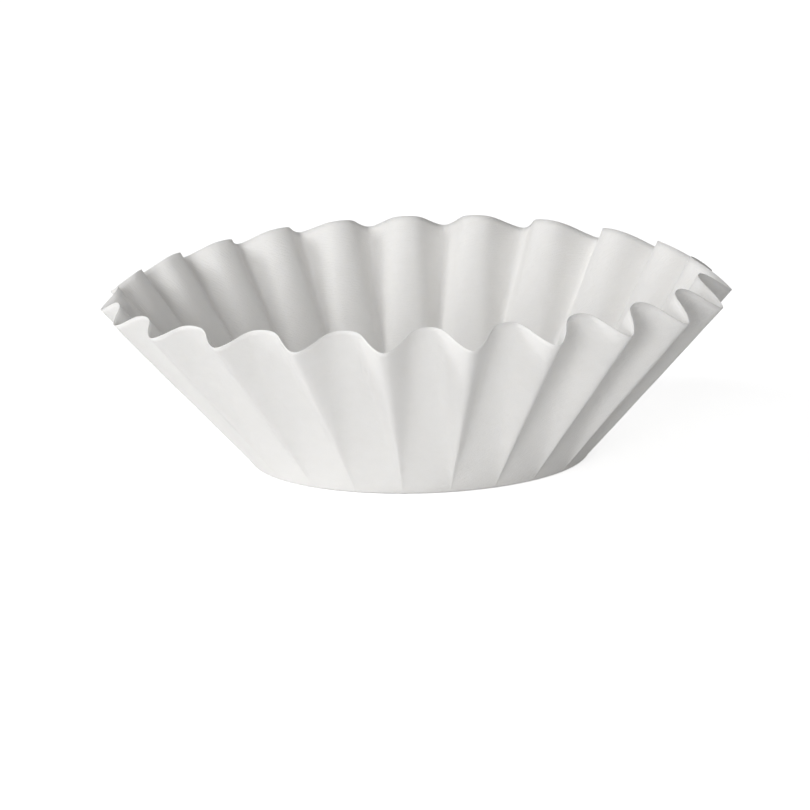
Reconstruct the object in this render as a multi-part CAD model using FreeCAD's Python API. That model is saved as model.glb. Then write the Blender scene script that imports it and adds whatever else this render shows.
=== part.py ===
import FreeCAD, Part
import math
import os

# A basket coffee filter: one round sheet of thin white paper, pressed so that its middle stays a flat
# round base and its wall stands up in a ring of flutes. Nothing is cut or glued, so the rim is the
# sheet's own edge folded in and out, and each line of the wall keeps the length it had in the sheet.
# Millimetres and degrees. +Z is up, the base stands on Z = 0 round the origin, and angles round the
# basket are counted from the front, -Y, towards the right, +X.
SIZES = (
    ("paper_diameter", 248.0, "the flat sheet, before it is pressed"),
    ("base_diameter", 108.0, "the fold line round the flat base"),
    ("paper_thickness", 0.2, "creped paper, over its crests"),
    ("base_bend_radius", 2.0, "outside of the soft fold round the base"),
    ("wall_angle", 55.0, "mean slope of the wall above the base"),
    ("back_lean", 3.3, "how much steeper the wall stands at the back"),
    ("right_lean", 1.2, "how much steeper the wall stands on the right"),
    ("side_spread", 2.7, "how much flatter the wall lies at both sides"),
    ("flute_count", 23.0, "flutes round the wall"),
    ("first_ridge_angle", -43.3, "where one inward ridge stands"),
    ("drift_to_back", 3.7, "the angle by which flutes at the back stand late"),
    ("drift_twofold", 2.1, "the same, twice round the wall"),
    ("right_deepening", 0.35, "how much deeper the flutes are on the right"),
    ("crest_roundness", 0.2, "how round the crests are, where 0 is a sharp fold"),
    ("flank_gather", 0.15, "how far the flanks are gathered under the lobes"),
    ("crest_span", 0.56, "the part of a flute that fans out of one point of the fold"),
)

# The curved paper is made of narrow flat facets, this many to each crest, panel and bend.
CREST_FACETS = 16
PANEL_FACETS = 6
BEND_FACETS = 3
TANGENT_STEP = 1e-4

doc = FreeCAD.newDocument("coffee_filter")
sheet = doc.addObject("Spreadsheet::Sheet", "sizes")
for row, (alias, value, meaning) in enumerate(SIZES, start=1):
    sheet.set(f"A{row}", alias)
    sheet.set(f"B{row}", str(value))
    sheet.set(f"C{row}", meaning)
    sheet.setAlias(f"B{row}", alias)
doc.recompute()

base_radius = sheet.base_diameter / 2
slant = (sheet.paper_diameter - sheet.base_diameter) / 2
bend_radius = sheet.base_bend_radius
wall_angle = math.radians(sheet.wall_angle)
flute_count = round(sheet.flute_count)
pitch = math.tau / flute_count
flat_radius = base_radius - bend_radius * math.tan(wall_angle / 2)


def at(angle, radius, height):
    """The point at an angle round the basket, a distance from its axis and a height above the base."""
    return FreeCAD.Vector(radius * math.sin(angle), -radius * math.cos(angle), height)


def pairs(points):
    """Each point with the next one, all the way round."""
    return zip(points, points[1:] + points[:1])


def drifted(turn):
    """Where an even turn really stands, because the flutes are not quite evenly spaced."""
    late = sheet.drift_twofold * math.cos(2 * turn) - sheet.drift_to_back * math.cos(turn)
    return turn + math.radians(late)


def rim_point(turn, swing):
    """The outer face of the rim, one slant length from the fold along a line that swings in and out."""
    flute = flute_count * (turn - math.radians(sheet.first_ridge_angle)) + math.pi
    rise = math.hypot(math.sin(flute / 2), sheet.crest_roundness) - sheet.crest_roundness
    whole_rise = math.hypot(1, sheet.crest_roundness) - sheet.crest_roundness
    wave = 1 - 2 * rise / whole_rise
    depth = swing * (1 + sheet.right_deepening * math.sin(turn))
    lean = (
        sheet.right_lean * math.sin(turn)
        - sheet.back_lean * math.cos(turn)
        + sheet.side_spread * math.cos(2 * turn)
    )
    slope = wall_angle + math.radians(lean) - depth * wave
    gathered = sheet.flank_gather * math.sin(2 * flute) / flute_count
    angle = drifted(turn) + gathered
    return at(angle, base_radius + slant * math.cos(slope), slant * math.sin(slope))


def wall_lines():
    """Straight lines up the wall, each with its turn at the rim and its turn at the fold.

    A flute is a crest that fans out like a cone from one point of the fold, and a nearly flat panel,
    as wide at the fold as at the rim.
    """
    first_crest = math.radians(sheet.first_ridge_angle) - pitch / 2
    crest_width = pitch * sheet.crest_span
    panel_width = pitch - crest_width
    lines = []
    for flute in range(flute_count):
        crest = first_crest + pitch * flute
        panel = crest + crest_width / 2
        for step in range(CREST_FACETS):
            lines.append((panel - crest_width * (1 - step / CREST_FACETS), crest))
        for step in range(PANEL_FACETS):
            through = step / PANEL_FACETS
            lines.append((panel + panel_width * through, crest + pitch * through))
    return lines


def swing_of_whole_sheet(lines):
    """The swing of the flutes that takes up the sheet's whole edge, because paper doesn't stretch."""
    low, high = 0.0, math.radians(30.0)
    edge = math.pi * sheet.paper_diameter
    for _ in range(40):
        middle = (low + high) / 2
        rim = [rim_point(turn, middle) for turn, _ in lines]
        if sum(start.distanceToPoint(end) for start, end in pairs(rim)) < edge:
            low = middle
        else:
            high = middle
    return low


def rim_corners(lines, swing, depth_in):
    """The tops of the lines, on the outer face or a depth in from it."""
    corners = []
    for turn, foot_turn in lines:
        outer = rim_point(turn, swing)
        along = rim_point(turn + TANGENT_STEP, swing) - rim_point(turn - TANGENT_STEP, swing)
        foot = at(drifted(foot_turn), base_radius, 0)
        corners.append(outer - along.cross(outer - foot).normalize() * depth_in)
    return corners


def bend_rings(lines, depth_in):
    """Level rings up the soft fold, from the flat base to the feet of the lines."""
    radius = bend_radius - depth_in
    rings = []
    for step in range(BEND_FACETS + 1):
        slope = wall_angle * step / BEND_FACETS
        out = flat_radius + radius * math.sin(slope)
        up = bend_radius - radius * math.cos(slope)
        rings.append([at(drifted(foot_turn), out, up) for _, foot_turn in lines])
    return rings


def base_facet(ring):
    """The flat round base inside the first ring."""
    return [corner for corner, after in pairs(ring) if corner != after]


def bend_facets(rings):
    """The soft fold, one flat facet between two rings and two feet."""
    for lower, upper in zip(rings, rings[1:]):
        for (left, right), (top_left, top_right) in zip(pairs(lower), pairs(upper)):
            if left != right:
                yield left, right, top_right, top_left


def strip_facets(lower, upper):
    """Triangles between two rings of corners, and one less where two lines share a foot."""
    for (left, right), (top_left, top_right) in zip(pairs(lower), pairs(upper)):
        yield left, top_right, top_left
        if left != right:
            yield left, right, top_right


def flat_face(corners):
    return Part.Face(Part.makePolygon([*corners, corners[0]]))


def pressed_sheet():
    """The whole sheet as one closed solid, its two faces joined by the cut edge at the rim."""
    lines = wall_lines()
    swing = swing_of_whole_sheet(lines)
    facets = []
    rims = []
    for depth_in in (0.0, sheet.paper_thickness):
        rings = bend_rings(lines, depth_in)
        rim = rim_corners(lines, swing, depth_in)
        facets += [base_facet(rings[0]), *bend_facets(rings), *strip_facets(rings[-1], rim)]
        rims.append(rim)
    facets += strip_facets(*rims)
    shell = Part.makeShell([flat_face(corners) for corners in facets])
    shell.sewShape()
    solid = Part.makeSolid(shell)
    if solid.Volume < 0:
        solid.reverse()
    return solid


paper = doc.addObject("Part::Feature", "coffee_filter")
paper.Label = "coffee_filter"
paper.Shape = pressed_sheet()
paper.Placement = FreeCAD.Placement()
doc.recompute()

for item in doc.Objects:
    if "Invalid" in item.State or "Error" in item.State:
        raise RuntimeError(f"{item.Label} did not build: {item.State}")
if paper.Shape.isNull() or not paper.Shape.isValid():
    raise RuntimeError("coffee_filter has no valid shape")

os.makedirs("parts", exist_ok=True)
paper.Shape.exportStep(f"parts/{paper.Label}.step")
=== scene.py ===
import math

import bmesh
import bpy
from mathutils import Matrix, Vector, noise


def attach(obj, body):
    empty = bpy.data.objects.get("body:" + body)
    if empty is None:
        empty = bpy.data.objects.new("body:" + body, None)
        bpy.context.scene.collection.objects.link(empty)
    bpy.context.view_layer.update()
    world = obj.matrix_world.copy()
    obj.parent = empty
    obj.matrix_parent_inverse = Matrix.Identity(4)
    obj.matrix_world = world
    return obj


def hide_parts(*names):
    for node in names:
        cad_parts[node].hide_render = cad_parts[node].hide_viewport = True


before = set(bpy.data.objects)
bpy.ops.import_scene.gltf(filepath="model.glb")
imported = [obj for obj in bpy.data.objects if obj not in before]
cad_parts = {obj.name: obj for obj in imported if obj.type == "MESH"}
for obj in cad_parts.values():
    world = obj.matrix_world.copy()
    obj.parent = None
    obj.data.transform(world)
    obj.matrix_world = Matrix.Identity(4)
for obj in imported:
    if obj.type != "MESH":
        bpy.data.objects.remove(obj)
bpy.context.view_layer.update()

# The pressed sheet. A real one is a single round disc of thin creped paper, pressed in a mould so that
# its middle stays flat and its wall stands up in flutes: nearly flat panels that lean in, with crests
# between them that fan out like cones from the fold. It has a cut edge all round and no seam.
MM = 0.001
PAPER_DIAMETER = 248.0
BASE_DIAMETER = 108.0
PAPER_THICKNESS = 0.2
BASE_BEND_RADIUS = 2.0
WALL_ANGLE = math.radians(55.0)
BACK_LEAN = 3.3
RIGHT_LEAN = 1.2
SIDE_SPREAD = 2.7
FLUTES = 23
FIRST_RIDGE_ANGLE = math.radians(-43.3)
DRIFT_TO_BACK = 3.7
DRIFT_TWOFOLD = 2.1
RIGHT_DEEPENING = 0.35
CREST_ROUNDNESS = 0.2
FLANK_GATHER = 0.15
SWING = math.radians(4.02)
FOLD_GATHER = 0.92
COLUMNS_PER_FLUTE = 36
WALL_STEPS = 36
BEND_STEPS = 5
BASE_STEPS = 7

# How far the wall is from its pressed shape, because the paper has been handled. Each unevenness has
# its depth and how finely it changes round the wall, up it or from place to place. The trim is read
# at a height in the noise that the creases don't reach, so that the two don't follow each other.
CREASE_DEPTH = 0.3
CREASES_ROUND = 9
CREASE_CHANGE_UP = 0.5
WAVE_DEPTH = 0.45
WAVE_FINENESS = 0.07
TRIM_DEPTH = 0.5
TRIM_ROUND = 4
TRIM_PLACE = 9
# Two thirds of the way up, the wall is this many times as wide as the base. It turns the angle from a
# dent into a distance.
WALL_GROWTH = 1.5
# Each small dent has its angle from the front in degrees, its share of the height, its width, its
# length up the wall and its depth.
DENTS = (
    (4, 0.93, 3.0, 9.0, 0.7),
    (-27, 0.9, 4.0, 7.0, -0.6),
    (21, 0.97, 3.0, 5.0, 0.8),
    (47, 0.92, 4.0, 8.0, 0.6),
    (83, 0.85, 5.0, 12.0, -0.6),
    (148, 0.45, 3.0, 12.0, 0.9),
    (153, 0.4, 2.5, 10.0, -0.7),
    (176, 0.55, 6.0, 14.0, 0.5),
    (212, 0.8, 5.0, 9.0, -0.5),
    (243, 0.88, 5.0, 7.0, 0.7),
    (301, 0.9, 4.0, 8.0, 0.6),
)

base_radius = BASE_DIAMETER / 2
slant = (PAPER_DIAMETER - BASE_DIAMETER) / 2
pitch = math.tau / FLUTES
flat_radius = base_radius - BASE_BEND_RADIUS * math.tan(WALL_ANGLE / 2)


def at(angle, radius, height):
    """The point at an angle from the front towards the right, a radius out and a height up."""
    return Vector((radius * math.sin(angle), -radius * math.cos(angle), height))


def drifted(turn):
    """Where an even turn really stands, because the flutes are not quite evenly spaced."""
    late = DRIFT_TWOFOLD * math.cos(2 * turn) - DRIFT_TO_BACK * math.cos(turn)
    return turn + math.radians(late)


def rim_point(turn):
    """The rim, one slant length from the fold along a line that swings in and out."""
    flute = FLUTES * (turn - FIRST_RIDGE_ANGLE) + math.pi
    rise = math.hypot(math.sin(flute / 2), CREST_ROUNDNESS) - CREST_ROUNDNESS
    wave = 1 - 2 * rise / (math.hypot(1, CREST_ROUNDNESS) - CREST_ROUNDNESS)
    depth = SWING * (1 + RIGHT_DEEPENING * math.sin(turn))
    lean = (
        RIGHT_LEAN * math.sin(turn)
        - BACK_LEAN * math.cos(turn)
        + SIDE_SPREAD * math.cos(2 * turn)
    )
    slope = WALL_ANGLE + math.radians(lean) - depth * wave
    gathered = FLANK_GATHER * math.sin(2 * flute) / FLUTES
    out = base_radius + slant * math.cos(slope)
    return at(drifted(turn) + gathered, out, slant * math.sin(slope))


def noise_round(turn, fineness, place):
    """Noise that meets itself after a whole turn round the wall."""
    return noise.noise(Vector((fineness * math.sin(turn), fineness * math.cos(turn), place)))


def handled(point, turn, through):
    """How far out the wall bulges at a point, from creases up the flutes, a slow wave and dents."""
    crease = noise_round(turn, CREASES_ROUND, CREASE_CHANGE_UP * through)
    wave = noise.noise(point * WAVE_FINENESS)
    bulge = (CREASE_DEPTH * crease + WAVE_DEPTH * wave) * through
    for angle, share, width, length, depth in DENTS:
        past = math.remainder(turn - math.radians(angle), math.tau)
        across = past * base_radius * WALL_GROWTH
        along = (through - share) * slant
        bulge -= depth * math.exp(-((across / width) ** 2) - (along / length) ** 2)
    return bulge


# Each line up the wall has its turn at the rim and its turn at the fold, where the lines of a crest
# are drawn together.
first_crest = FIRST_RIDGE_ANGLE - pitch / 2
columns = FLUTES * COLUMNS_PER_FLUTE
lines = []
for column in range(columns):
    turn = first_crest + math.tau * column / columns
    foot_turn = turn - FOLD_GATHER * math.sin(FLUTES * (turn - first_crest)) / FLUTES
    lines.append((turn, foot_turn))

# Rings of points from the middle of the base out to the rim, with each point's place in the flat sheet.
rings = []
for step in range(1, BASE_STEPS + 1):
    share = step / (BASE_STEPS + 1)
    out = flat_radius * share
    ring = []
    for turn, foot_turn in lines:
        turn_here = turn + (foot_turn - turn) * share**2
        ring.append((at(drifted(turn_here), out, 0), at(turn_here, out, 0)))
    rings.append(ring)
for step in range(BEND_STEPS + 1):
    slope = WALL_ANGLE * step / BEND_STEPS
    out = flat_radius + BASE_BEND_RADIUS * math.sin(slope)
    up = BASE_BEND_RADIUS * (1 - math.cos(slope))
    flat = flat_radius + BASE_BEND_RADIUS * slope
    rings.append([(at(drifted(foot), out, up), at(foot, flat, 0)) for _, foot in lines])
feet = [place for place, _ in rings[-1]]
for step in range(1, WALL_STEPS + 1):
    through = step / WALL_STEPS
    flat = base_radius + slant * through
    ring = []
    for (turn, foot_turn), foot in zip(lines, feet):
        trim = TRIM_DEPTH * noise_round(turn, TRIM_ROUND, TRIM_PLACE) / slant
        place = foot.lerp(rim_point(turn), through * (1 + trim * through))
        outward = Vector((place.x, place.y, 0)).normalized()
        turn_here = foot_turn + (turn - foot_turn) * (1 - base_radius * (1 - through) / flat)
        ring.append((place + outward * handled(place, turn, through), at(turn_here, flat, 0)))
    rings.append(ring)

paper = bmesh.new()
flat_sheet = paper.verts.layers.float_vector.new("flat_sheet")
grid = []
for ring in rings:
    row = []
    for place, flat in ring:
        vert = paper.verts.new(place * MM)
        vert[flat_sheet] = flat
        row.append(vert)
    grid.append(row)
middle = paper.verts.new((0, 0, 0))
for i in range(columns):
    paper.faces.new((middle, grid[0][(i + 1) % columns], grid[0][i]))
for lower, upper in zip(grid, grid[1:]):
    for i in range(columns):
        j = (i + 1) % columns
        paper.faces.new((lower[i], lower[j], upper[j], upper[i]))
for face in paper.faces:
    face.smooth = True
mesh = bpy.data.meshes.new("pressed_sheet")
paper.to_mesh(mesh)
paper.free()
sheet = bpy.data.objects.new("pressed_sheet", mesh)
bpy.context.collection.objects.link(sheet)
thickness = sheet.modifiers.new("thickness", "SOLIDIFY")
thickness.thickness = PAPER_THICKNESS * MM
thickness.offset = -1
thickness.use_even_offset = True


class Wire:
    """An output of a shader node, which adds and multiplies as a number does."""

    def __init__(self, shader, socket):
        self.shader = shader
        self.socket = socket

    def maths(self, operation, other):
        return self.shader.node("Math", {"operation": operation}, {0: self, 1: other})

    def __add__(self, other):
        return self.maths("ADD", other)

    __radd__ = __add__

    def __mul__(self, other):
        return self.maths("MULTIPLY", other)

    __rmul__ = __mul__


class Shader:
    """The nodes of one material or of the world."""

    def __init__(self, tree):
        self.tree = tree
        tree.nodes.clear()

    def node(self, kind, settings, sockets, output=0):
        """A new node, with its settings made first and then its sockets, and one of its outputs."""
        made = self.tree.nodes.new("ShaderNode" + kind)
        for name, value in settings.items():
            setattr(made, name, value)
        for name, value in sockets.items():
            if isinstance(value, Wire):
                self.tree.links.new(value.socket, made.inputs[name])
            else:
                made.inputs[name].default_value = value
        return Wire(self, made.outputs[output]) if made.outputs else None


def new_finish(name):
    """A new material with no nodes yet, and what makes its nodes."""
    finish = bpy.data.materials.new(name)
    finish.use_nodes = True
    return finish, Shader(finish.node_tree)


# The paper's finish. Bleached pulp with fine crepe lines that all run one way across the flat sheet,
# faint clouds where the fibres lie thicker, and single fibres. A scale of 1 has about one crepe line,
# fibre or cloud to the millimetre.
PAPER_COLOUR = (0.915, 0.905, 0.89, 1)
CLOUD_COLOUR = (0.87, 0.86, 0.84, 1)
CREPE_SCALE = (0.35, 1.9, 1.0)
CREPE_DIRECTION = (0, 0, 0.4)
CREPE_HEIGHT = 0.18 * MM
FIBRE_SCALE = 3.2
FIBRE_TANGLE = 1.5
FIBRE_HEIGHT = 0.07 * MM
CLOUD_SCALE = 0.22
CLOUD_SHARE = 0.7
FIBRE_SHARE = 0.3
RELIEF_STRENGTH = 0.8
ROUGHNESS = 0.82
FIBRE_ROUGHNESS = 0.15
GLOW_RADIUS = (1.0, 0.95, 0.85)
GLOW_DEPTH = 0.5 * MM

finish, shader = new_finish("filter_paper")
place = shader.node("Attribute", {"attribute_name": "flat_sheet"}, {}, "Vector")
crepe_place = shader.node(
    "Mapping", {}, {"Vector": place, "Scale": CREPE_SCALE, "Rotation": CREPE_DIRECTION}
)
crepe = shader.node("TexNoise", {}, {"Vector": crepe_place, "Scale": 1.0, "Detail": 3.0})
fibre = shader.node(
    "TexNoise", {}, {"Vector": place, "Scale": FIBRE_SCALE, "Detail": 4.0, "Distortion": FIBRE_TANGLE}
)
cloud = shader.node("TexNoise", {}, {"Vector": place, "Scale": CLOUD_SCALE, "Detail": 3.0})
# A colour Mix has its factor at socket 0, its two colours at 6 and 7, and its result at output 2.
thicker = cloud * CLOUD_SHARE + fibre * FIBRE_SHARE
tone = shader.node(
    "Mix", {"data_type": "RGBA"}, {0: thicker, 6: PAPER_COLOUR, 7: CLOUD_COLOUR}, 2
)
relief = crepe * CREPE_HEIGHT + fibre * FIBRE_HEIGHT
surface = shader.node("Bump", {}, {"Height": relief, "Strength": RELIEF_STRENGTH, "Distance": 1.0})
paper_surface = shader.node(
    "BsdfPrincipled",
    {},
    {
        "Base Color": tone,
        "Roughness": ROUGHNESS + fibre * FIBRE_ROUGHNESS,
        "Normal": surface,
        "Specular IOR Level": 0.25,
        "Sheen Weight": 0.06,
        "Subsurface Weight": 0.25,
        "Subsurface Radius": GLOW_RADIUS,
        "Subsurface Scale": GLOW_DEPTH,
    },
)
shader.node("OutputMaterial", {}, {"Surface": paper_surface})
sheet.data.materials.append(finish)

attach(sheet, "root")
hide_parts("coffee_filter")

# The table and the light. A pale table that looks white to the camera and keeps the soft shadow, a
# large soft window on the upper left, two weaker fills and plain light from all round.
FLOOR_SIZE = 8.0
FLOOR_COLOUR = (0.88, 0.88, 0.88, 1)
FLOOR_LIFT = 0.68
WHITE = (1, 1, 1, 1)
ROOM_LIGHT = 0.29
# Each lamp has its place, its size and its power.
LAMPS = {
    "window": (Vector((-1.39, -0.5, 1.03)), 0.8, 13.2),
    "front_fill": (Vector((-0.5, -1.69, 0.32)), 0.55, 11.6),
    "back_fill": (Vector((0.5, 1.7, 0.35)), 0.6, 3.0),
}


def seen(shader):
    """One where the camera looks, straight, in a mirror or through glass, and nought for light."""
    straight = shader.node("LightPath", {}, {}, "Is Camera Ray")
    mirrored = shader.node("LightPath", {}, {}, "Is Glossy Ray")
    through_glass = shader.node("LightPath", {}, {}, "Is Transmission Ray")
    return straight + mirrored + through_glass


bpy.ops.mesh.primitive_plane_add(size=FLOOR_SIZE, location=(0, 0, 0))
floor = bpy.context.object
floor.name = "floor"
floor_finish, shader = new_finish("floor_white")
matt = shader.node("BsdfDiffuse", {}, {"Color": FLOOR_COLOUR})
lift = shader.node("Emission", {}, {"Color": WHITE, "Strength": seen(shader) * FLOOR_LIFT})
floor_surface = shader.node("AddShader", {}, {0: matt, 1: lift})
shader.node("OutputMaterial", {}, {"Surface": floor_surface})
floor.data.materials.append(floor_finish)

world = bpy.data.worlds.new("room")
bpy.context.scene.world = world
world.use_nodes = True
shader = Shader(world.node_tree)
strength = ROOM_LIGHT + seen(shader) * (1 - ROOM_LIGHT)
room = shader.node("Background", {}, {"Color": WHITE, "Strength": strength})
shader.node("OutputWorld", {}, {"Surface": room})

for name, (stand, size, power) in LAMPS.items():
    lamp = bpy.data.lights.new(name, "AREA")
    lamp.size = size
    lamp.energy = power
    holder = bpy.data.objects.new(name, lamp)
    bpy.context.collection.objects.link(holder)
    holder.location = stand
    holder.rotation_euler = stand.to_track_quat("Z", "Y").to_euler()

# The camera stands 1.355 m from a point on the basket's axis, a little above it and tilted a little,
# and looks at a point just beside that axis.
PIXELS = 810
SENSOR = 36.0
PIXELS_PER_METRE = 3085.0
CAMERA_DISTANCE = 1.355
CAMERA_RISE = math.radians(14.576)
CAMERA_ROLL = math.radians(-1.575)
AXIS_POINT = Vector((0, 0, -0.0338))
AIM = Vector((-0.0043, 0, 0.0164))

camera = bpy.data.cameras.new("camera")
camera.sensor_width = SENSOR
camera.lens = PIXELS_PER_METRE * CAMERA_DISTANCE * SENSOR / PIXELS
camera_holder = bpy.data.objects.new("camera", camera)
bpy.context.collection.objects.link(camera_holder)
stand = AXIS_POINT + CAMERA_DISTANCE * Vector((0, -math.cos(CAMERA_RISE), math.sin(CAMERA_RISE)))
facing = (stand - AIM).to_track_quat("Z", "Y").to_matrix().to_4x4()
camera_holder.matrix_world = (
    Matrix.Translation(stand) @ facing @ Matrix.Rotation(CAMERA_ROLL, 4, "Z")
)
bpy.context.scene.camera = camera_holder
bpy.context.scene.view_settings.view_transform = "Standard"
